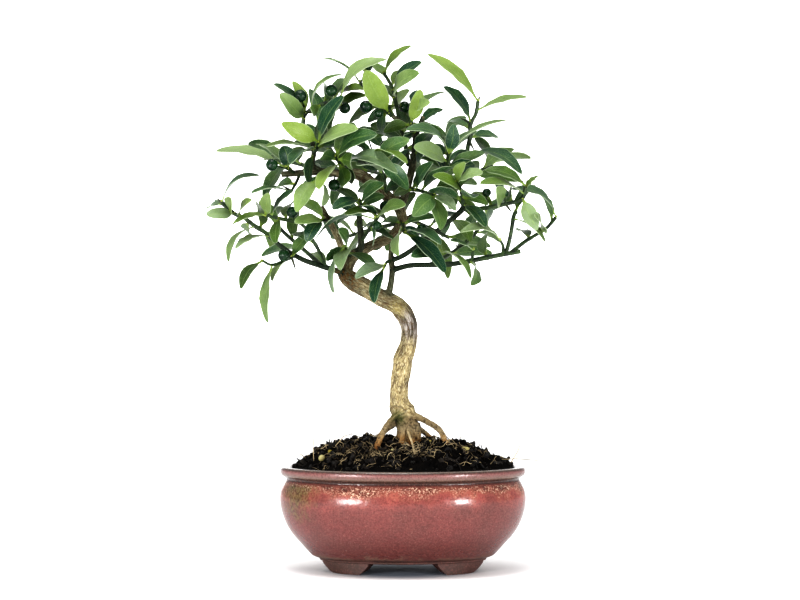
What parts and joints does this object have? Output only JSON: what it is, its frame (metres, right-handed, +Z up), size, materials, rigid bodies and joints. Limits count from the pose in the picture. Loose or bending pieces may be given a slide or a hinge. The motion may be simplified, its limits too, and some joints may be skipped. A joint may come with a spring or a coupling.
{
  "type": "dwarf orange bonsai in its pot",
  "caption": "Small citrus bonsai with an S-bent trunk, thorny leafy shoots and small unripe fruit, rooted in dark soil in a glazed oval pot on cloud feet.",
  "frame": {"origin": "middle of the whole object's outline, on the surface that the pot's feet stand on", "axes": "+Z up; the picture looks along +Y, with +X to its right"},
  "size_m": [0.2616, 0.1772, 0.3914],
  "materials": {
    "glaze": "glossy mauve-red glaze with fine light and dark speckles, ochre at the shoulder",
    "drainage_plastic": "matt black mesh",
    "soil": "dark, damp, fibrous potting soil with bark crumbs",
    "bark": "rough tan bark with dark furrows, greener on thin branches",
    "leaf": "smooth, slightly glossy leaves from yellow-green to blue-green, with green stems and thorns",
    "unripe_fruit": "glossy dark green rind with fine pores"
  },
  "bodies": {
    "root": {"pot": "glaze", "drainage_screen_left": "drainage_plastic", "drainage_screen_right": "drainage_plastic", "soil": "soil", "trunk_and_limbs": "bark", "shoot_crown_left": "leaf", "shoot_crown_tip": "leaf", "shoot_crown_top": "leaf", "shoot_crown_bright": "leaf", "shoot_right_top": "leaf", "shoot_right_middle": "leaf", "shoot_right_knot": "leaf", "shoot_right_dark": "leaf", "shoot_right_low": "leaf", "shoot_low_droop": "leaf", "shoot_centre_right": "leaf", "shoot_centre_upper": "leaf", "shoot_middle_broad": "leaf", "shoot_middle_rising": "leaf", "shoot_left_long": "leaf", "shoot_left_broad": "leaf", "shoot_left_olive": "leaf", "shoot_left_thin": "leaf", "shoot_far_left": "leaf", "shoot_low_left": "leaf", "shoot_left_climbing": "leaf", "shoot_centre_left": "leaf", "shoot_centre_long": "leaf", "shoot_centre_stub": "leaf", "shoot_centre_pendant": "leaf", "shoot_centre_grey": "leaf", "shoot_back_left": "leaf", "shoot_back_left_low": "leaf", "shoot_back_crown": "leaf", "shoot_back_crown_left": "leaf", "shoot_back_middle": "leaf", "shoot_back_low": "leaf", "shoot_back_right_low": "leaf", "shoot_back_right": "leaf", "shoot_back_right_top": "leaf", "shoot_back_right_side": "leaf", "fruit_01": "unripe_fruit", "fruit_02": "unripe_fruit", "fruit_03": "unripe_fruit", "fruit_04": "unripe_fruit", "fruit_05": "unripe_fruit", "fruit_06": "unripe_fruit", "fruit_07": "unripe_fruit", "fruit_08": "unripe_fruit", "fruit_09": "unripe_fruit", "fruit_10": "unripe_fruit", "fruit_11": "unripe_fruit", "fruit_12": "unripe_fruit", "fruit_13": "unripe_fruit", "fruit_14": "unripe_fruit", "fruit_15": "unripe_fruit", "fruit_16": "unripe_fruit", "fruit_17": "unripe_fruit", "fruit_18": "unripe_fruit"}
  },
  "joints": []
}
